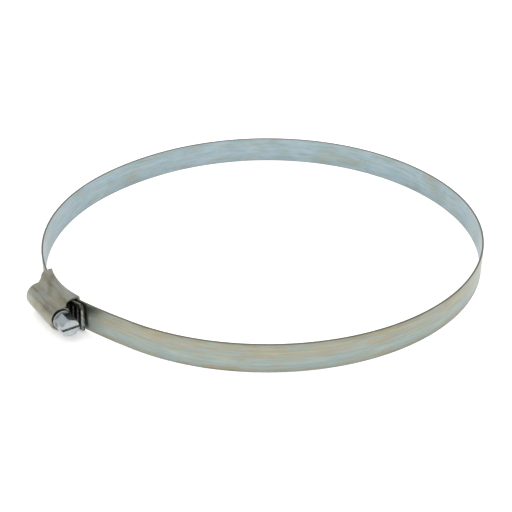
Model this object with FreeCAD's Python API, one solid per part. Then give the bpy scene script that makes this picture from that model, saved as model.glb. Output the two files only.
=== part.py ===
import FreeCAD, Part
import math
import os

# Worm-drive hose clip, drawn at its largest opening.
# Millimetres.  The origin is the middle of the ring and of the band's width,
# +Z is the axis of the hose.

# ---------------------------------------------------------------- dimensions
BAND_W = 12.7            # band width
BAND_T = 0.8             # band thickness
EDGE_R = 0.22            # rolled edge of the strip

NORMAL_DEG = 214.5       # direction of the housing's outward normal
SADDLE_X = -82.614       # middle of the housing's inner (saddle) face
SADDLE_Y = -53.613
SADDLE_R = 48.0          # saddle curvature, tighter than the ring
SHEET = 0.8              # housing sheet

FAR_END = -13.2          # housing base, along the screw
HEAD_END = 13.0
BARREL_FAR = -10.0       # barrel, along the screw
BARREL_HEAD = 14.0
BARREL_RO = 5.3
BARREL_RI = 4.55
SHOULDER_TOP = 4.05      # height of the side walls' shoulders over the saddle
SHOULDER_R = 2.0
CHANNEL_HALF = 6.45      # band channel, half width
CHANNEL_TOP = 3.3

TAIL_R = 99.5            # set radius of the threaded end, inner face
TAIL_LIFT = 0.56         # threaded end over the fixed end at the worm
PITCH_S = 7.5            # where the worm bears on the threaded end
TAIL_START_DEG = 143.4142  # direction of the threaded end's first edge
SEAM = 0.05              # slit between the last length and the threaded end
CURL_R = 12.0            # turned-down tip
CURL_DEG = 19.0
TIP_LEN = 7.2

THREAD_PITCH = 2.5
WORM_R = 4.3             # worm outside radius
CORE_R = 3.4             # worm root radius
MESH = 0.35              # depth of the worm in the band
GROOVE_D = 0.5
GROOVE_W = 1.45
GROOVE_HALF = 3.3
FIRST_GROOVE_S = 8.8
GROOVES = 46

NECK_R = 2.6
JOURNAL_R = 2.0
RUN = 0.05               # radial running clearance
HEX_AF = 7.0
HEX_END = 22.2
FLANGE_R = 4.1
SLOT_W = 1.1
SLOT_D = 1.7
HEX_CORNER_DEG = 39.6

# Flexible part of the band, from the housing round to the threaded end:
# (inner radius, length along the inner face) of each length.
LENGTHS = [
    (280.5162, 27.0000),
    (95.6000, 34.2405),
    (95.1000, 34.2405),
    (95.1000, 34.2405),
    (95.1000, 34.2405),
    (95.1000, 34.2405),
    (95.1000, 34.2405),
    (95.1000, 34.2405),
    (100.8726, 34.2405),
    (97.4531, 34.2405),
    (90.5240, 34.2405),
    (88.7801, 34.2405),
    (95.9216, 34.2405),
    (112.7516, 34.2405),
]
CUT = 0.05               # half of the slit at each flex line

V = FreeCAD.Vector
os.makedirs("parts", exist_ok=True)

n = math.radians(NORMAL_DEG)
U = V(math.cos(n), math.sin(n), 0)           # outward
A = V(-math.sin(n), math.cos(n), 0)          # along the screw, towards its head
H = V(SADDLE_X, SADDLE_Y, 0)
AXIS_H = 2 * BAND_T + TAIL_LIFT + BAND_T + WORM_R - MESH
SADDLE_C = H - U * SADDLE_R
TAIL_C = H + A * PITCH_S + U * (2 * BAND_T + TAIL_LIFT - TAIL_R)


def polar(c, r, ang):
    return V(c.x + r * math.cos(ang), c.y + r * math.sin(ang), 0)


def strip(c, r, a0, a1, t=BAND_T, w=BAND_W, roll=EDGE_R):
    """Curved strip: inner radius r about c, from angle a0 to a1."""
    am = (a0 + a1) / 2
    ri, ro = r, r + t
    edges = [
        Part.Arc(polar(c, ri, a0), polar(c, ri, am), polar(c, ri, a1)).toShape(),
        Part.makeLine(polar(c, ri, a1), polar(c, ro, a1)),
        Part.Arc(polar(c, ro, a1), polar(c, ro, am), polar(c, ro, a0)).toShape(),
        Part.makeLine(polar(c, ro, a0), polar(c, ri, a0)),
    ]
    f = Part.Face(Part.Wire(edges))
    f.translate(V(0, 0, -w / 2))
    s = f.extrude(V(0, 0, w))
    return roll_edges(s, roll)


def roll_edges(s, roll):
    """Round the long edges of a strip."""
    if roll <= 0:
        return s
    long_edges = [e for e in s.Edges
                  if abs(e.Vertexes[0].Z - e.Vertexes[-1].Z) < 1e-6 and e.Length > 2.0]
    try:
        return s.makeFillet(roll, long_edges)
    except Exception:
        return s


def local(shape):
    """Housing frame (x outward from the saddle, y along the screw, z) to the clip's frame."""
    s = shape.copy()
    s.Placement = FreeCAD.Placement(H, FreeCAD.Rotation(V(0, 0, 1), NORMAL_DEG)).multiply(s.Placement)
    return s


def cyl_y(r, y0, y1, x, z=0.0):
    return Part.makeCylinder(r, y1 - y0, V(x, y0, z), V(0, 1, 0))


def box(x0, x1, y0, y1, z0, z1):
    return Part.makeBox(x1 - x0, y1 - y0, z1 - z0, V(x0, y0, z0))


# ------------------------------------------------------------------- housing
half = CHANNEL_HALF + SHEET
base = box(-5, SHOULDER_TOP, FAR_END, HEAD_END, -half, half)
tops = [e for e in base.Edges
        if abs(e.BoundBox.XMin - SHOULDER_TOP) < 1e-6 and e.BoundBox.XLength < 1e-6
        and e.BoundBox.ZLength < 1e-6 and e.BoundBox.YLength > 5]
base = base.makeFillet(SHOULDER_R, tops)
# the side walls slope back from the saddle's far end to the barrel
wedge = Part.Face(Part.makePolygon([
    V(1.6, FAR_END - 1, -half - 1), V(6, FAR_END - 1, -half - 1), V(6, BARREL_FAR + 0.4, -half - 1),
    V(SHOULDER_TOP, BARREL_FAR, -half - 1), V(1.6, FAR_END + 0.3, -half - 1), V(1.6, FAR_END - 1, -half - 1)]))
base = base.cut(wedge.extrude(V(0, 0, 2 * half + 2)))

barrel = cyl_y(BARREL_RO, BARREL_FAR, BARREL_HEAD, AXIS_H)
far_rim = [e for e in barrel.Edges if abs(e.BoundBox.YMax - BARREL_FAR) < 1e-4]
head_rim = [e for e in barrel.Edges if abs(e.BoundBox.YMin - BARREL_HEAD) < 1e-4]
barrel = barrel.makeFillet(1.5, far_rim)
head_rim = [e for e in barrel.Edges if abs(e.BoundBox.YMin - BARREL_HEAD) < 1e-4]
barrel = barrel.makeFillet(0.35, head_rim)

housing = base.fuse(barrel).removeSplitter()
housing = housing.cut(Part.makeCylinder(SADDLE_R, 40, V(-SADDLE_R, 0, -20)))
channel = box(-8, CHANNEL_TOP, -25, 25, -CHANNEL_HALF, CHANNEL_HALF)
channel = channel.cut(Part.makeCylinder(SADDLE_R + SHEET, 40, V(-SADDLE_R, 0, -20)))
housing = housing.cut(channel)
housing = housing.cut(cyl_y(BARREL_RI, BARREL_FAR + 1.2, BARREL_HEAD - 1.8, AXIS_H))
housing = housing.cut(cyl_y(JOURNAL_R + RUN, BARREL_FAR - 1, BARREL_FAR + 2, AXIS_H))
housing = housing.cut(cyl_y(NECK_R + RUN, BARREL_HEAD - 3, BARREL_HEAD + 1, AXIS_H))
# window that holds the tab of the band's fixed end
housing = housing.cut(box(-1, SHEET + 0.1, -2.1, 0.1, -2.6, 2.6))
solids = sorted(housing.Solids, key=lambda q: -q.Volume)
housing = solids[0]
housing = local(housing)
housing.exportStep("parts/housing.step")

# --------------------------------------------------------------------- screw
# built along local z = screw axis, local x towards the band
screw = Part.makeCylinder(CORE_R, 20.4, V(0, 0, -8.5))
screw = screw.fuse(Part.makeCylinder(JOURNAL_R, 1.6, V(0, 0, -9.9)))
screw = screw.fuse(Part.makeCylinder(NECK_R, 2.6, V(0, 0, 11.7)))
flange = Part.makeCylinder(FLANGE_R, 1.0, V(0, 0, 14.15))
flange = flange.makeChamfer(0.2, [e for e in flange.Edges if abs(e.Length - 2 * math.pi * FLANGE_R) < 1e-3])
hex_r = HEX_AF / 2 / math.cos(math.pi / 6)
pts = [V(hex_r * math.cos(math.radians(HEX_CORNER_DEG + 60 * i)),
         hex_r * math.sin(math.radians(HEX_CORNER_DEG + 60 * i)), 15.0) for i in range(7)]
hexagon = Part.Face(Part.makePolygon(pts)).extrude(V(0, 0, HEX_END - 15.0))
crown = Part.makeCylinder(hex_r + 0.01, HEX_END - 15.0, V(0, 0, 15.0))
crown = crown.makeChamfer(0.55, [e for e in crown.Edges
                                 if abs(e.BoundBox.ZMin - HEX_END) < 1e-4 and e.BoundBox.ZLength < 1e-4])
hexagon = hexagon.common(crown)
screw = screw.fuse([flange, hexagon])

turns = 6
z_start = FIRST_GROOVE_S - 5 * THREAD_PITCH
helix = Part.makeHelix(THREAD_PITCH, turns * THREAD_PITCH, CORE_R)
prof = Part.makePolygon([V(CORE_R - 0.2, 0, -0.78), V(WORM_R, 0, -0.35), V(WORM_R, 0, 0.35),
                         V(CORE_R - 0.2, 0, 0.78), V(CORE_R - 0.2, 0, -0.78)])
thread = Part.Wire(helix.Edges).makePipeShell([prof], True, True)
thread.translate(V(0, 0, z_start))
screw = screw.fuse(thread)
screw = screw.cut(Part.makeBox(12, SLOT_W, SLOT_D + 1, V(-6, -SLOT_W / 2, HEX_END - SLOT_D)))
if len(screw.Solids) > 1:
    screw = sorted(screw.Solids, key=lambda q: -q.Volume)[0]
# local x -> towards the band (-U), local y -> +Z, local z -> along the screw (A)
m = FreeCAD.Matrix(-U.x, 0, A.x, 0,
                   -U.y, 0, A.y, 0,
                   0, 1, 0, 0,
                   0, 0, 0, 1)
axis_pt = H + U * AXIS_H
screw = screw.copy()
screw.Placement = FreeCAD.Placement(axis_pt, FreeCAD.Rotation(m))
screw.exportStep("parts/screw.step")

# ----------------------------------------------------- fixed end of the band
r_in = SADDLE_R + SHEET
a0 = n + math.asin(-3.0 / r_in)
a1 = n + math.asin(15.0 / r_in)
fixed = strip(SADDLE_C, r_in + 0.02, a0, a1 - CUT / r_in, BAND_T - 0.02)
tab = local(box(0.06, SHEET + 0.3, -2.0, 0.0, -2.5, 2.5))
fixed = fixed.fuse(tab).removeSplitter()
fixed.exportStep("parts/band_fixed_end.step")

# ------------------------------------------------------- lengths of the ring
p = polar(SADDLE_C, r_in, a1)
h = a1
for i, (r, length) in enumerate(LENGTHS, 1):
    c = V(p.x - r * math.cos(h), p.y - r * math.sin(h), 0)
    h1 = h + length / r
    last = i == len(LENGTHS)
    s = strip(c, r, h + CUT / r, h1 - (SEAM if last else CUT) / r)
    s.exportStep("parts/band_length_%02d.step" % i)
    p = polar(c, r, h1)
    h = h1

# ------------------------------------------------------ threaded (free) end
psi0 = math.radians(TAIL_START_DEG)
psi1 = n
ri, ro = TAIL_R, TAIL_R + BAND_T
bc = polar(TAIL_C, TAIL_R - CURL_R, psi1)
bi, bo = CURL_R, CURL_R + BAND_T
psi2 = psi1 + math.radians(CURL_DEG)
t2 = V(-math.sin(psi2), math.cos(psi2), 0) * TIP_LEN
pm = (psi0 + psi1) / 2
bm = (psi1 + psi2) / 2
edges = [
    Part.Arc(polar(TAIL_C, ri, psi0), polar(TAIL_C, ri, pm), polar(TAIL_C, ri, psi1)).toShape(),
    Part.Arc(polar(bc, bi, psi1), polar(bc, bi, bm), polar(bc, bi, psi2)).toShape(),
    Part.makeLine(polar(bc, bi, psi2), polar(bc, bi, psi2) + t2),
    Part.makeLine(polar(bc, bi, psi2) + t2, polar(bc, bo, psi2) + t2),
    Part.makeLine(polar(bc, bo, psi2) + t2, polar(bc, bo, psi2)),
    Part.Arc(polar(bc, bo, psi2), polar(bc, bo, bm), polar(bc, bo, psi1)).toShape(),
    Part.Arc(polar(TAIL_C, ro, psi1), polar(TAIL_C, ro, pm), polar(TAIL_C, ro, psi0)).toShape(),
    Part.makeLine(polar(TAIL_C, ro, psi0), polar(TAIL_C, ri, psi0)),
]
f = Part.Face(Part.Wire(edges))
f.translate(V(0, 0, -BAND_W / 2))
tail = f.extrude(V(0, 0, BAND_W))
# rounded corners of the tip
tip_edges = [e for e in tail.Edges
             if e.Length < BAND_T + 0.01
             and (e.CenterOfMass - (polar(bc, bi + BAND_T / 2, psi2) + t2)).Length < BAND_W / 2 + 0.2
             and abs(abs(e.CenterOfMass.z) - BAND_W / 2) < 1e-4]
try:
    tail = tail.makeFillet(1.2, tip_edges)
except Exception:
    pass
# worm grooves pressed in the outer face, at the lead angle of the worm
r_pitch = TAIL_R + BAND_T - 0.2
lead = math.degrees(math.atan(THREAD_PITCH / (2 * math.pi * (WORM_R - 0.2))))
cuts = []
for k in range(GROOVES):
    s_k = FIRST_GROOVE_S - PITCH_S - k * THREAD_PITCH
    ang = n + s_k / r_pitch
    g = box(TAIL_R + BAND_T - GROOVE_D, TAIL_R + BAND_T + 1.5, -GROOVE_W / 2, GROOVE_W / 2, -GROOVE_HALF, GROOVE_HALF)
    g.rotate(V(0, 0, 0), V(1, 0, 0), lead * -1.0)
    g.rotate(V(0, 0, 0), V(0, 0, 1), math.degrees(ang))
    g.translate(TAIL_C)
    cuts.append(g)
tail = tail.cut(cuts)
if len(tail.Solids) == 1:
    tail = tail.Solids[0]
tail.exportStep("parts/band_tail.step")
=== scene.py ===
import bpy, bmesh, math
from mathutils import Vector, Matrix


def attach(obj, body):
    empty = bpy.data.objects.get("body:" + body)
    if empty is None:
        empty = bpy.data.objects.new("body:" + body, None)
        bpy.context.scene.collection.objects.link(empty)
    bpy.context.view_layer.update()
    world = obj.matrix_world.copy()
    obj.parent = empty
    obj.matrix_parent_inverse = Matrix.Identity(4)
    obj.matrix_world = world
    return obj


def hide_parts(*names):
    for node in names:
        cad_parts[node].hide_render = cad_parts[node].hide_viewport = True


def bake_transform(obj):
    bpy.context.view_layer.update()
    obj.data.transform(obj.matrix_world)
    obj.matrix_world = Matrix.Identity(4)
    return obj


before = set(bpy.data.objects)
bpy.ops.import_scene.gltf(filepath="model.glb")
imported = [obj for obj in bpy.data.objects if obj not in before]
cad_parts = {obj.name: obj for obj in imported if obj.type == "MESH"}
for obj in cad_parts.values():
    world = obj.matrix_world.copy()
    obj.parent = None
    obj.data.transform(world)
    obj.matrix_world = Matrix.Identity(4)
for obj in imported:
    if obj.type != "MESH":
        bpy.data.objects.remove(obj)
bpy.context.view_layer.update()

MM = 0.001
W, T = 12.7, 0.8
rad = math.radians

# ------------------------------------------------------------------ frame of the housing (mm)
N = rad(214.5)
U = Vector((math.cos(N), math.sin(N), 0.0))
A = Vector((-math.sin(N), math.cos(N), 0.0))
Z = Vector((0.0, 0.0, 1.0))
H = Vector((-82.614, -53.613, 0.0))
SADDLE_R = 48.0
AXIS_H = 6.91
R_IN = SADDLE_R + T
SADDLE_C = H - U * SADDLE_R
TAIL_R, PITCH_S, LIFT = 99.5, 7.5, 0.56
TAIL_C = H + A * PITCH_S + U * (2 * T + LIFT - TAIL_R)
PSI0 = rad(143.4142)
CURL_R, CURL, TIP = 12.0, rad(19.0), 7.2
LENGTHS = [
    (280.5162, 27.0000),
    (95.6000, 34.2405),
    (95.1000, 34.2405),
    (95.1000, 34.2405),
    (95.1000, 34.2405),
    (95.1000, 34.2405),
    (95.1000, 34.2405),
    (95.1000, 34.2405),
    (100.8726, 34.2405),
    (97.4531, 34.2405),
    (90.5240, 34.2405),
    (88.7801, 34.2405),
    (95.9216, 34.2405),
    (112.7516, 34.2405),
]


def hs(s, h, z=0.0):
    """Point at s along the screw, h over the saddle's middle, z up."""
    return H + A * s + U * h + Z * z


def polar(c, r, a):
    return Vector((c.x + r * math.cos(a), c.y + r * math.sin(a), 0.0))


# ------------------------------------------------------------------ path of the band's inner face
A1 = N + math.asin(15.0 / R_IN)
_starts = []
_p, _h, _u = polar(SADDLE_C, R_IN, A1), A1, 0.0
for _r, _l in LENGTHS:
    _starts.append((_u, _p.copy(), _h, _r, _l))
    _c = _p - _r * Vector((math.cos(_h), math.sin(_h), 0))
    _h2 = _h + _l / _r
    _p = polar(_c, _r, _h2)
    _h = _h2
    _u += _l
RING_LEN = _u


def ring_path(u):
    """(point, normal angle) on the inner face; u = 0 just outside the housing."""
    if u <= 0:
        a = A1 + u / R_IN
        return polar(SADDLE_C, R_IN, a), a
    for u0, p, h, r, l in _starts:
        if u <= u0 + l + 1e-9:
            break
    c = p - r * Vector((math.cos(h), math.sin(h), 0))
    a = h + (u - u0) / r
    return polar(c, r, a), a


TAIL_ARC = TAIL_R * (N - PSI0)
BEND_ARC = CURL_R * CURL
TAIL_LEN = TAIL_ARC + BEND_ARC + TIP


def tail_path(u):
    """The free end's inner face from its first edge, u = 0, to its tip."""
    if u <= TAIL_ARC:
        a = PSI0 + u / TAIL_R
        return polar(TAIL_C, TAIL_R, a), a
    bc = polar(TAIL_C, TAIL_R - CURL_R, N)
    if u <= TAIL_ARC + BEND_ARC:
        a = N + (u - TAIL_ARC) / CURL_R
        return polar(bc, CURL_R, a), a
    a = N + CURL
    d = Vector((-math.sin(a), math.cos(a), 0))
    return polar(bc, CURL_R, a) + d * (u - TAIL_ARC - BEND_ARC), a


def smooth(x, a, b):
    t = max(0.0, min(1.0, (x - a) / (b - a)))
    return t * t * (3 - 2 * t)


# ------------------------------------------------------------------ mesh helpers
def section(rows_in, rows_out, t0=0.0, t1=T, w=W, roll=0.34, seg=4):
    """Closed cross-section of the strip: list of (height over inner face, z, v)."""
    pts = []
    half = w / 2
    r = min(roll, (t1 - t0) / 2 * 0.92)
    for k in range(rows_in + 1):
        z = -half + r + (w - 2 * r) * k / rows_in
        pts.append((t0, z, z / W + 0.5))
    for k in range(1, seg):
        a = math.pi / 2 * k / seg
        pts.append((t0 + r - r * math.cos(a), half - r + r * math.sin(a), 1.0 + 0.4 * k / seg))
    pts.append((t0 + r, half, 1.45))
    pts.append((t1 - r, half, 1.55))
    for k in range(1, seg):
        a = math.pi / 2 * k / seg
        pts.append((t1 - r + r * math.sin(a), half - r + r * math.cos(a), 1.6 + 0.4 * k / seg))
    for k in range(rows_out + 1):
        z = half - r - (w - 2 * r) * k / rows_out
        pts.append((t1, z, 2.0 + (0.5 - z / W)))
    for k in range(1, seg):
        a = math.pi / 2 * k / seg
        pts.append((t1 - r + r * math.cos(a), -half + r - r * math.sin(a), 3.0 + 0.4 * k / seg))
    pts.append((t1 - r, -half, 3.45))
    pts.append((t0 + r, -half, 3.55))
    for k in range(1, seg):
        a = math.pi / 2 * k / seg
        pts.append((t0 + r - r * math.sin(a), -half + r - r * math.cos(a), 3.6 + 0.4 * k / seg))
    return pts


def loft(name, path, us, sec, shape=None, u_off=0.0, width=None):
    """Closed strip mesh along path at the stations us. shape(u, t, z, v) -> (du, dt, dz)."""
    verts, faces, uvs = [], [], []
    n = len(sec)
    for u in us:
        for t, z, v in sec:
            du = dt = dz = 0.0
            if shape:
                du, dt, dz = shape(u, t, z, v)
            p, a = path(u + du)
            verts.append((p + Vector((math.cos(a), math.sin(a), 0)) * (t + dt) + Z * (z + dz)) * MM)
    for i in range(len(us) - 1):
        for j in range(n):
            k = (j + 1) % n
            faces.append((i * n + j, i * n + k, (i + 1) * n + k, (i + 1) * n + j))
            va, vb = sec[j][2], (4.0 if k == 0 else sec[k][2])
            ua, ub = (us[i] + u_off) / W, (us[i + 1] + u_off) / W
            uvs.append([(ua, va), (ua, vb), (ub, vb), (ub, va)])
    cap0 = tuple(range(n - 1, -1, -1))
    cap1 = tuple((len(us) - 1) * n + j for j in range(n))
    faces.append(cap0)
    uvs.append([((us[0] + u_off) / W, 1.5)] * n)
    faces.append(cap1)
    uvs.append([((us[-1] + u_off) / W, 1.5)] * n)
    me = bpy.data.meshes.new(name)
    me.from_pydata(verts, [], faces)
    uv = me.uv_layers.new(name="band")
    li = 0
    for f, c in zip(me.polygons, uvs):
        for k in range(len(c)):
            uv.data[f.loop_start + k].uv = c[k]
    bm = bmesh.new()
    bm.from_mesh(me)
    bmesh.ops.recalc_face_normals(bm, faces=bm.faces[:])
    bm.to_mesh(me)
    bm.free()
    finish_mesh(me, 40)
    ob = bpy.data.objects.new(name, me)
    bpy.context.scene.collection.objects.link(ob)
    return ob


def finish_mesh(me, angle):
    """Smooth shading with hard edges over the angle, in degrees."""
    bm = bmesh.new()
    bm.from_mesh(me)
    lim = math.radians(angle)
    for e in bm.edges:
        e.smooth = len(e.link_faces) == 2 and e.calc_face_angle(0.0) < lim
    for f in bm.faces:
        f.smooth = True
    bm.to_mesh(me)
    bm.free()


# ------------------------------------------------------------------ materials
def new_mat(name):
    m = bpy.data.materials.new(name)
    m.use_nodes = True
    nt = m.node_tree
    nt.nodes.clear()
    out = nt.nodes.new("ShaderNodeOutputMaterial")
    bs = nt.nodes.new("ShaderNodeBsdfPrincipled")
    nt.links.new(bs.outputs[0], out.inputs[0])
    return m, nt, bs


def nd(nt, kind, **kw):
    x = nt.nodes.new(kind)
    for k, v in kw.items():
        if k.startswith("i_"):
            x.inputs[k[2:].replace("_", " ")].default_value = v
        else:
            setattr(x, k, v)
    return x


def mapping(nt, src, scale, loc=(0, 0, 0)):
    m = nd(nt, "ShaderNodeMapping")
    m.inputs["Scale"].default_value = scale
    m.inputs["Location"].default_value = loc
    nt.links.new(src, m.inputs["Vector"])
    return m.outputs[0]


def noise(nt, vec, scale, detail=4.0, rough=0.55, dist=0.0):
    n = nd(nt, "ShaderNodeTexNoise")
    n.inputs["Scale"].default_value = scale
    n.inputs["Detail"].default_value = detail
    n.inputs["Roughness"].default_value = rough
    n.inputs["Distortion"].default_value = dist
    nt.links.new(vec, n.inputs["Vector"])
    return n.outputs[0]


def ramp(nt, src, stops, interp="LINEAR"):
    r = nd(nt, "ShaderNodeValToRGB")
    cr = r.color_ramp
    cr.interpolation = interp
    while len(cr.elements) > 1:
        cr.elements.remove(cr.elements[-1])
    cr.elements[0].position = stops[0][0]
    cr.elements[0].color = tuple(stops[0][1]) + (1.0,) if len(stops[0][1]) == 3 else stops[0][1]
    for pos, col in stops[1:]:
        e = cr.elements.new(pos)
        e.color = tuple(col) + (1.0,) if len(col) == 3 else col
    nt.links.new(src, r.inputs[0])
    return r.outputs[0]


def mix(nt, fac, a, b, mode="MIX"):
    m = nd(nt, "ShaderNodeMix")
    m.data_type = "RGBA"
    m.blend_type = mode
    for sock, val in ((m.inputs[0], fac), (m.inputs[6], a), (m.inputs[7], b)):
        if isinstance(val, bpy.types.NodeSocket):
            nt.links.new(val, sock)
        elif isinstance(val, (tuple, list)):
            sock.default_value = tuple(val) + ((1.0,) if len(val) == 3 else ())
        else:
            sock.default_value = val
    return m.outputs[2]


def mathn(nt, op, a, b=0.0, c=0.0, clamp=False):
    m = nd(nt, "ShaderNodeMath")
    m.operation = op
    m.use_clamp = clamp
    for sock, val in zip(m.inputs, (a, b, c)):
        if isinstance(val, bpy.types.NodeSocket):
            nt.links.new(val, sock)
        else:
            sock.default_value = val
    return m.outputs[0]


def g(x):
    """sRGB byte values to linear."""
    out = []
    for v in x:
        v = v / 255.0
        out.append(v / 12.92 if v <= 0.04045 else ((v + 0.055) / 1.055) ** 2.4)
    return tuple(out)


def band_material():
    m, nt, bs = new_mat("zinc_band")
    uvn = nd(nt, "ShaderNodeUVMap")
    uvn.uv_map = "band"
    uv = uvn.outputs[0]
    sep = nd(nt, "ShaderNodeSeparateXYZ")
    nt.links.new(uv, sep.inputs[0])
    v = sep.outputs[1]
    # drawing lines along the strip, fine and coarse
    fine = noise(nt, mapping(nt, uv, (1.1, 52.0, 1.0)), 3.0, 5.0, 0.62)
    coarse = noise(nt, mapping(nt, uv, (0.55, 8.0, 1.0)), 1.7, 3.0, 0.5, 0.3)
    # drift of the passivation tint: long low clouds, then small patches
    cloud = noise(nt, mapping(nt, uv, (0.55, 1.3, 1.0), (3.1, 0.7, 0)), 1.2, 3.0, 0.55, 0.7)
    warm = noise(nt, mapping(nt, uv, (1.1, 3.2, 1.0), (9.4, 5.2, 0)), 1.5, 4.0, 0.62, 0.9)
    cool = noise(nt, mapping(nt, uv, (0.8, 3.6, 1.0), (21.0, 2.6, 0)), 1.4, 4.0, 0.6, 0.8)
    rose = noise(nt, mapping(nt, uv, (1.9, 4.4, 1.0), (33.0, 8.0, 0)), 1.6, 4.0, 0.6, 0.9)
    inner = ramp(nt, cloud, [(0.30, g((148, 157, 152))), (0.45, g((150, 167, 172))), (0.56, g((156, 173, 181))),
                             (0.70, g((150, 163, 162)))])
    inner = mix(nt, ramp(nt, cool, [(0.48, (0, 0, 0)), (0.68, (0.7,) * 3)]), inner, g((140, 164, 174)))
    inner = mix(nt, ramp(nt, warm, [(0.55, (0, 0, 0)), (0.72, (0.6,) * 3)]), inner, g((162, 158, 134)))
    inner = mix(nt, ramp(nt, rose, [(0.60, (0, 0, 0)), (0.72, (0.6,) * 3)]), inner, g((176, 158, 150)))
    vo = mathn(nt, "SUBTRACT", v, 2.0)
    across = ramp(nt, vo, [(0.0, g((120, 117, 94))), (0.07, g((146, 144, 124))), (0.20, g((158, 155, 136))), (0.44, g((160, 158, 140))),
                           (0.56, g((158, 166, 156))), (0.68, g((160, 174, 174))), (0.80, g((158, 166, 158))), (0.92, g((146, 144, 126))),
                           (1.0, g((120, 117, 96)))])
    outer = mix(nt, ramp(nt, cloud, [(0.40, (0, 0, 0)), (0.62, (0.6,) * 3)]), across, g((150, 162, 158)))
    outer = mix(nt, ramp(nt, cool, [(0.48, (0, 0, 0)), (0.68, (0.75,) * 3)]), outer, g((146, 166, 170)))
    outer = mix(nt, ramp(nt, warm, [(0.52, (0, 0, 0)), (0.72, (0.65,) * 3)]), outer, g((168, 160, 130)))
    outer = mix(nt, ramp(nt, rose, [(0.54, (0, 0, 0)), (0.72, (0.65,) * 3)]), outer, g((166, 150, 138)))
    v4 = mathn(nt, "MULTIPLY", v, 0.25)
    is_out = ramp(nt, v4, [(0.37, (0, 0, 0)), (0.39, (1, 1, 1)), (0.86, (1, 1, 1)), (0.9, (0, 0, 0))])
    col = mix(nt, is_out, inner, outer)
    col = mix(nt, 0.75, col, ramp(nt, fine, [(0.25, (0.80, 0.80, 0.79)), (0.75, (1.10, 1.10, 1.10))]), "MULTIPLY")
    col = mix(nt, 0.8, col, ramp(nt, coarse, [(0.3, (0.84, 0.85, 0.84)), (0.7, (1.10, 1.09, 1.07))]), "MULTIPLY")
    # worn, darker edges
    edge = ramp(nt, v4, [(0.0, (0.8,) * 3), (0.008, (0, 0, 0)), (0.240, (0, 0, 0)), (0.262, (0.85,) * 3), (0.46, (0.9,) * 3), (0.508, (0, 0, 0)),
                         (0.742, (0, 0, 0)), (0.762, (0.9,) * 3), (0.99, (0.9,) * 3), (1.0, (0.8,) * 3)])
    col = mix(nt, edge, col, g((108, 102, 88)))
    # painted shade on the free end's outer face: the pressed grooves, and more and more of the lands towards the tip,
    # darkened almost to black where the housing and screw head shade it
    at = nd(nt, "ShaderNodeAttribute")
    at.attribute_name = "groove"
    painted_shade_mask = nd(nt, "ShaderNodeSeparateColor")
    nt.links.new(at.outputs["Color"], painted_shade_mask.inputs[0])
    # mix in the painted shade, near-black (26, 25, 22), by the mask from the 'groove' attribute
    col = mix(nt, painted_shade_mask.outputs[0], col, g((26, 25, 22)))
    nt.links.new(col, bs.inputs["Base Color"])
    bs.inputs["Metallic"].default_value = 1.0
    rg = ramp(nt, fine, [(0.2, (0.28,) * 3), (0.8, (0.46,) * 3)])
    nt.links.new(rg, bs.inputs["Roughness"])
    hgt = mathn(nt, "ADD", mathn(nt, "MULTIPLY", fine, 0.6), mathn(nt, "MULTIPLY", coarse, 0.7))
    b = nd(nt, "ShaderNodeBump")
    b.inputs["Strength"].default_value = 0.22
    b.inputs["Distance"].default_value = 0.00006
    nt.links.new(hgt, b.inputs["Height"])
    nt.links.new(b.outputs[0], bs.inputs["Normal"])
    return m


def object_material(name, axis, cols, rough, streak=0.5, tint=None):
    """Zinc-plated steel in the row frame's own coordinates, drawn out along axis."""
    m, nt, bs = new_mat(name)
    tc = nd(nt, "ShaderNodeTexCoord")
    mp = nd(nt, "ShaderNodeMapping")
    mp.vector_type = "TEXTURE"
    mp.inputs["Rotation"].default_value = (0, 0, math.atan2(axis[1], axis[0]))
    nt.links.new(tc.outputs["Object"], mp.inputs["Vector"])
    vec = mp.outputs[0]
    fine = noise(nt, mapping(nt, vec, (60.0, 1900.0, 1900.0)), 1.0, 5.0, 0.6)
    mid = noise(nt, mapping(nt, vec, (55.0, 760.0, 760.0)), 1.0, 4.0, 0.62, 0.35)
    cloud = noise(nt, mapping(nt, vec, (70.0, 130.0, 130.0), (4.0, 2.0, 7.0)), 1.0, 3.0, 0.5, 0.6)
    col = ramp(nt, cloud, cols)
    col = mix(nt, streak, col, ramp(nt, mid, [(0.30, (0.70, 0.70, 0.68)), (0.46, (0.96, 0.96, 0.95)), (0.72, (1.12, 1.12, 1.11))]), "MULTIPLY")
    col = mix(nt, streak, col, ramp(nt, fine, [(0.28, (0.86, 0.86, 0.85)), (0.72, (1.06, 1.06, 1.05))]), "MULTIPLY")
    nt.links.new(col, bs.inputs["Base Color"])
    bs.inputs["Metallic"].default_value = 1.0
    nt.links.new(ramp(nt, mid, [(0.25, (rough[0],) * 3), (0.75, (rough[1],) * 3)]), bs.inputs["Roughness"])
    b = nd(nt, "ShaderNodeBump")
    b.inputs["Strength"].default_value = 0.15
    b.inputs["Distance"].default_value = 0.00005
    nt.links.new(mid, b.inputs["Height"])
    nt.links.new(b.outputs[0], bs.inputs["Normal"])
    return m


BAND = band_material()
HOUSING = object_material("zinc_housing", (A.x, A.y),
                          [(0.30, g((124, 123, 110))), (0.42, g((144, 143, 128))), (0.52, g((154, 153, 140))), (0.62, g((150, 155, 150))),
                           (0.72, g((162, 160, 148)))], (0.26, 0.44), 0.9)
SCREW = object_material("zinc_screw", (A.x, A.y),
                        [(0.32, g((148, 154, 158))), (0.5, g((168, 176, 182))), (0.66, g((180, 182, 178)))], (0.16, 0.34), 0.7)

# ------------------------------------------------------------------ band
def stations(a, b, step):
    n = max(2, int(math.ceil((b - a) / step)))
    return [a + (b - a) * i / n for i in range(n + 1)]


SEC = section(12, 14)
mids = [u0 + l / 2 for u0, _, _, _, l in _starts]
joints_u = [s[0] for s in _starts]
U_FIX = -R_IN * (A1 - (N + math.asin(-3.0 / R_IN)))


# fixed end, from inside the housing to the middle of the first length
def fix_shape(u, t, z, v):
    return (0.0, 0.02 if t < 0.1 and u < -1.5 else 0.0, 0.0)


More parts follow.
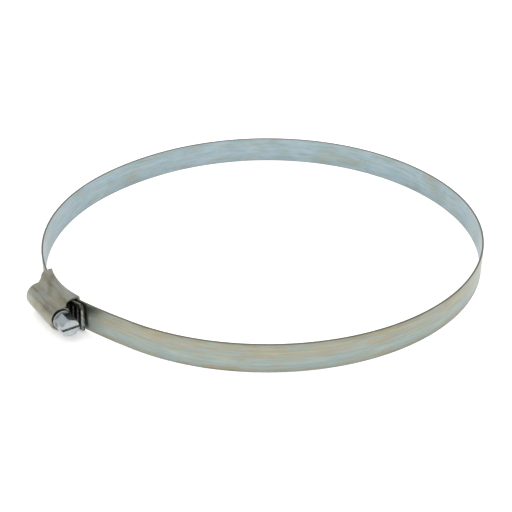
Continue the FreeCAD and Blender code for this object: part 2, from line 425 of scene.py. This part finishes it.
band_fix = loft("band_fixed", ring_path, stations(U_FIX, mids[0], 0.8), SEC)
band_fix.data.materials.append(BAND)
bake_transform(band_fix)
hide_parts("band_fixed_end")
ROW = 8          # lengths hinged from the fixed end; the rest hang from the free end
for i in range(1, 14):
    if i == ROW:
        for nm, u0, u1, ride in (("a", mids[i - 1], joints_u[i], i), ("b", joints_u[i], mids[i], i + 1)):
            ob = loft("band_run_%02d%s" % (i, nm), ring_path, stations(u0, u1, 0.8), SEC)
            ob.data.materials.append(BAND)
            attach(ob, "length_%02d" % ride)
            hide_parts("band_length_%02d" % ride)
        continue
    ob = loft("band_run_%02d" % i, ring_path, stations(mids[i - 1], mids[i], 0.8), SEC)
    ob.data.materials.append(BAND)
    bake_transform(ob)
    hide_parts("band_length_%02d" % (i if i < ROW else i + 1))


def join_path(u):
    """The ring, then the free end, on one scale."""
    return ring_path(u) if u < RING_LEN else tail_path(u - RING_LEN)


TAIL_FROM = 8.0
ob = loft("band_run_14", join_path, stations(mids[13], RING_LEN + TAIL_FROM, 0.8), SEC)
ob.data.materials.append(BAND)
p0, a0 = join_path(RING_LEN - 12.0)
p1, a1_ = join_path(RING_LEN + 7.0)
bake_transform(ob)
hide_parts("band_length_14")

# threaded free end
PITCH = 2.5
PITCH_U = PITCH * TAIL_R / (TAIL_R + T - 0.2)     # the same pitch, measured on the inner face
LEAD = PITCH / (2 * math.pi * 4.1)
S_FIRST = TAIL_ARC + (8.8 - PITCH_S) * TAIL_R / (TAIL_R + T - 0.2)


def tail_shape(u, t, z, v):
    """Worm threads pressed in the outer face."""
    if not (2.0 <= v <= 3.0):
        return 0.0, 0.0, 0.0
    ph = (u - S_FIRST - LEAD * z * TAIL_R / (TAIL_R + T)) / PITCH_U
    d = abs(ph - round(ph)) * PITCH_U
    groove = 1 - smooth(d, 0.62, 0.95)
    side = 1 - smooth(abs(z), 3.7, 4.3)
    ends = smooth(u, 10.6, 11.8)
    return 0.0, -0.52 * groove * side * ends, 0.0


def tip_shape(u, t, z, v):
    """Threads, plus the sheared end: corners rounded off, edge slightly uneven."""
    du, dt, dz = tail_shape(u, t, z, v)
    k = smooth(u, TAIL_LEN - 1.6, TAIL_LEN)
    over = max(0.0, abs(z) - (W / 2 - 1.3)) / 1.3
    du = -k * (1.15 * (1 - math.sqrt(max(0.0, 1 - over * over))) + 0.22 * (1 + math.sin(z * 2.5 + 0.6)))
    dt += 0.05 * k * math.sin(z * 2.5) * (1 if t < T / 2 else 0)
    return du, dt, dz


SEC_T = section(10, 40)
us = stations(TAIL_FROM, TAIL_LEN - 2.2, 0.2)[:-1] + stations(TAIL_LEN - 2.2, TAIL_LEN, 0.12)
tail = loft("band_free_end", tail_path, us, SEC_T, tip_shape, RING_LEN)
# painted shade mask, kept in the 'groove' attribute: up to 0.95 in the pressed grooves, at least the lands' share
# elsewhere on the outer face, none at the cut tip or near the strip's sides
painted_shade_attr = tail.data.color_attributes.new("groove", "FLOAT_COLOR", "POINT")
_k = 0
for u in us:
    for t, z, v in SEC_T:
        _, dt, _ = tail_shape(u, t, z, v)
        face = 1.0 if 2.0 <= v <= 3.0 else 0.0
        # painted shade over the lands: a quarter everywhere, rising to 0.8 over the stretch 16 to 9 mm before the tip
        painted_land_shade = 0.25 + 0.55 * smooth(u, TAIL_LEN - 16.0, TAIL_LEN - 9.0)
        x = face * max(min(1.0, -dt / 0.40) * 0.95, painted_land_shade) * (1 - smooth(u, TAIL_LEN - 1.9, TAIL_LEN - 0.9)) * (1 - smooth(abs(z), W / 2 - 0.7, W / 2 - 0.3))
        painted_shade_attr.data[_k].color = (x, x, x, 1.0)
        _k += 1
tail.data.materials.append(BAND)
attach(tail, "tail")
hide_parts("band_tail")

# ------------------------------------------------------------------ housing: one pressed sheet, rolled to a barrel
def spline(pts, n):
    """Catmull-Rom through pts, n steps a span."""
    out = []
    q = [pts[0]] + list(pts) + [pts[-1]]
    for i in range(1, len(q) - 2):
        p0_, p1_, p2_, p3_ = q[i - 1], q[i], q[i + 1], q[i + 2]
        for k in range(n):
            t = k / n
            out.append(tuple(0.5 * (2 * p1_[j] + (p2_[j] - p0_[j]) * t + (2 * p0_[j] - 5 * p1_[j] + 4 * p2_[j] - p3_[j]) * t * t
                             + (3 * p1_[j] - p0_[j] - 3 * p2_[j] + p3_[j]) * t ** 3) for j in range(2)))
    out.append(tuple(pts[-1]))
    return out


BR_OUT, BR_IN = 5.3, 4.55


def resample(pts, n):
    d = [0.0]
    for a_, b_ in zip(pts, pts[1:]):
        d.append(d[-1] + math.dist(a_, b_))
    out, k = [], 0
    for i in range(n + 1):
        x = d[-1] * i / n
        while k < len(d) - 2 and d[k + 1] < x:
            k += 1
        f_ = (x - d[k]) / max(1e-9, d[k + 1] - d[k])
        out.append((pts[k][0] + (pts[k + 1][0] - pts[k][0]) * f_, pts[k][1] + (pts[k + 1][1] - pts[k][1]) * f_))
    return out


def half_profile(corner, r, lift):
    """Upper half of a wall's outline, (h, z), from the saddle's middle round to the barrel's crown."""
    pts = spline(corner, 8)
    start = math.atan2(pts[-1][1], pts[-1][0] - AXIS_H)
    for k in range(1, 25):
        a_ = start * (1 - k / 24)
        pts.append((AXIS_H + r * math.cos(a_), r * math.sin(a_)))
    return pts


OUTER = half_profile([(0.0, 0.0), (0.0, 3.5), (0.0, 6.6), (0.1, 7.05), (0.35, 7.25), (1.4, 7.25), (2.6, 7.18), (3.5, 6.78), (4.3, 6.2),
                      (5.1, 5.72), (5.9, 5.45), (6.6, 5.34), (7.2, 5.292)], BR_OUT, 0)
INNER = half_profile([(0.8, 0.0), (0.8, 3.5), (0.8, 6.2), (0.86, 6.4), (1.1, 6.45), (1.8, 6.45), (2.9, 6.45), (3.45, 6.2), (3.95, 5.5),
                      (4.5, 4.9), (5.2, 4.58), (6.2, 4.5), (7.2, 4.54)], BR_IN, 0)
NP = 84
OUTER, INNER = resample(OUTER, NP), resample(INNER, NP)


def full_loop(half):
    return half + [(h_, -z_) for h_, z_ in reversed(half[1:-1])]


LOOP_O, LOOP_I = full_loop(OUTER), full_loop(INNER)


def shell_point(h, z, t, inner):
    """t runs 0 at the far end to 1 at the head end."""
    k = smooth(h, 2.4, 5.2)
    s0 = -13.2 + 3.2 * k
    s1 = 13.0 + 1.0 * k
    s_ = s0 + (s1 - s0) * t
    sag = SADDLE_R - math.sqrt(SADDLE_R ** 2 - s_ ** 2)
    near = 1 - smooth(h, 0.9, 4.2)
    hh, zz = h, z
    if h > 3.2 and not inner:
        d0 = (s_ + 10.0)
        if d0 < 1.5 and h > 5.0:
            q = 1.5 - math.sqrt(max(0.0, 1.5 ** 2 - (1.5 - d0) ** 2))
            f_ = 1 - q / BR_OUT * smooth(h, 5.0, 6.4)
            hh = AXIS_H + (h - AXIS_H) * f_
            zz = z * f_
        d1 = 14.0 - s_
        if d1 < 0.35:
            q = 0.35 - math.sqrt(max(0.0, 0.35 ** 2 - (0.35 - d1) ** 2))
            f_ = 1 - q / BR_OUT
            hh = AXIS_H + (hh - AXIS_H) * f_
            zz = zz * f_
    return H + A * s_ + U * (hh - sag * near) + Z * zz


def shell_mesh(name):
    ts = [0, 0.008, 0.016, 0.026, 0.038, 0.052, 0.07] + [0.07 + 0.905 * i / 44 for i in range(1, 45)] + [0.984, 0.991, 0.996, 1.0]
    n = len(LOOP_O)
    verts, faces = [], []
    for loop_, inn in ((LOOP_O, False), (LOOP_I, True)):
        for t in ts:
            for h_, z_ in loop_:
                verts.append(shell_point(h_, z_, t, inn) * MM)
    m_ = len(ts)
    off = n * m_
    for i in range(m_ - 1):
        for j in range(n):
            k = (j + 1) % n
            faces.append((i * n + j, i * n + k, (i + 1) * n + k, (i + 1) * n + j))
            faces.append((off + i * n + j, off + (i + 1) * n + j, off + (i + 1) * n + k, off + i * n + k))
    for j in range(n):
        k = (j + 1) % n
        faces.append((j, off + j, off + k, k))
        e_ = (m_ - 1) * n
        faces.append((e_ + j, e_ + k, off + e_ + k, off + e_ + j))
    me = bpy.data.meshes.new(name)
    me.from_pydata(verts, [], faces)
    bm = bmesh.new()
    bm.from_mesh(me)
    bmesh.ops.recalc_face_normals(bm, faces=bm.faces[:])
    bm.to_mesh(me)
    bm.free()
    finish_mesh(me, 42)
    ob = bpy.data.objects.new(name, me)
    bpy.context.scene.collection.objects.link(ob)
    return ob


def turned(name, prof, seg=72, floor_h=3.4):
    """Closed ring turned round the screw's axis from a closed (s, r) profile, flat where the band passes."""
    verts, faces = [], []
    n = len(prof)
    for i in range(seg):
        a_ = 2 * math.pi * i / seg
        for s_, r_ in prof:
            verts.append((H + A * s_ + U * max(floor_h, AXIS_H + r_ * math.cos(a_)) + Z * (r_ * math.sin(a_))) * MM)
    for i in range(seg):
        for j in range(n):
            faces.append((i * n + j, i * n + (j + 1) % n, ((i + 1) % seg) * n + (j + 1) % n, ((i + 1) % seg) * n + j))
    me = bpy.data.meshes.new(name)
    me.from_pydata(verts, [], faces)
    bm = bmesh.new()
    bm.from_mesh(me)
    bmesh.ops.recalc_face_normals(bm, faces=bm.faces[:])
    bm.to_mesh(me)
    bm.free()
    finish_mesh(me, 35)
    ob = bpy.data.objects.new(name, me)
    bpy.context.scene.collection.objects.link(ob)
    return ob


shell = shell_mesh("housing_shell")
far_cap = turned("housing_far_wall", [(-9.95, 2.1), (-9.98, 2.6), (-9.98, 3.4), (-9.85, 3.9), (-9.6, 4.5), (-8.8, 4.6), (-8.7, 4.4), (-8.7, 2.4), (-8.85, 2.1)])
head_wall = turned("housing_head_wall", [(13.25, 2.7), (13.4, 2.95), (13.4, 4.2), (13.3, 4.6), (12.4, 4.6), (12.2, 4.4), (12.2, 2.9), (12.35, 2.7)])
for ob in (shell, far_cap, head_wall):
    ob.data.materials.append(HOUSING)
    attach(ob, "frame")
    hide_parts("housing")

# ------------------------------------------------------------------ carried-over CAD piece
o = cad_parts["screw"]
o.data.materials.clear()
o.data.materials.append(SCREW)

# ------------------------------------------------------------------ floor, light, camera
FLOOR_Z = -7.3
me = bpy.data.meshes.new("floor")
me.from_pydata([(-6, -6, FLOOR_Z * MM), (6, -6, FLOOR_Z * MM), (6, 6, FLOOR_Z * MM), (-6, 6, FLOOR_Z * MM)], [], [(0, 1, 2, 3)])
floor = bpy.data.objects.new("floor", me)
bpy.context.scene.collection.objects.link(floor)
fm, fnt, fbs = new_mat("floor_white")
fbs.inputs["Base Color"].default_value = (0.96, 0.96, 0.96, 1)
fbs.inputs["Roughness"].default_value = 0.9
fbs.inputs["Specular IOR Level"].default_value = 0.1
fbs.inputs["Emission Color"].default_value = (1, 1, 1, 1)
fbs.inputs["Emission Strength"].default_value = 0.30
floor.data.materials.append(fm)

bpy.context.scene.view_settings.view_transform = "Standard"
world = bpy.data.worlds.new("studio")
bpy.context.scene.world = world
world.use_nodes = True
wnt = world.node_tree
wnt.nodes.clear()
wout = wnt.nodes.new("ShaderNodeOutputWorld")
wbg = wnt.nodes.new("ShaderNodeBackground")
wbg.inputs[0].default_value = (1.0, 1.0, 1.0, 1)
wbg.inputs[1].default_value = 0.92
wnt.links.new(wbg.outputs[0], wout.inputs[0])


def area(name, loc, target, size, power, col=(1, 1, 1)):
    l = bpy.data.lights.new(name, "AREA")
    l.shape = "RECTANGLE"
    l.size, l.size_y = size
    l.energy = power
    l.color = col
    o = bpy.data.objects.new(name, l)
    bpy.context.scene.collection.objects.link(o)
    o.location = loc
    d = Vector(target) - Vector(loc)
    o.rotation_euler = d.to_track_quat("-Z", "Y").to_euler()
    return o


area("key", (-0.5, -0.6, 1.2), (0, 0, 0), (1.7, 1.7), 5.0)
fill = area("fill", (1.0, -0.5, 1.1), (0, 0, 0), (1.6, 1.6), 4.0)
back = area("back", (0.0, 1.1, 1.2), (0, 0, 0), (1.8, 1.0), 5.0)

fill.visible_glossy = False
back.visible_glossy = False

d, e, pan, tilt, roll, f = 467.3476, 0.4957860, 0.00984968, -0.01943212, -0.0015274, 1034.9796
pos = Vector((0, -d * math.cos(e), d * math.sin(e)))
fwd = (-pos).normalized()
right = Vector((1, 0, 0))
up = right.cross(fwd)
R1 = Matrix.Rotation(pan, 3, up)
fwd, right = R1 @ fwd, R1 @ right
R2 = Matrix.Rotation(tilt, 3, right)
fwd, up = R2 @ fwd, R2 @ up
R3 = Matrix.Rotation(roll, 3, fwd)
right, up = R3 @ right, R3 @ up
cd = bpy.data.cameras.new("camera")
cd.lens = f / 512 * 36
cd.sensor_width = 36
cd.clip_start = 0.01
cd.clip_end = 50
cam = bpy.data.objects.new("camera", cd)
bpy.context.scene.collection.objects.link(cam)
m = Matrix.Identity(4)
for r_ in range(3):
    m[r_][0], m[r_][1], m[r_][2] = right[r_], up[r_], -fwd[r_]
    m[r_][3] = pos[r_] * MM
cam.matrix_world = m
bpy.context.scene.camera = cam
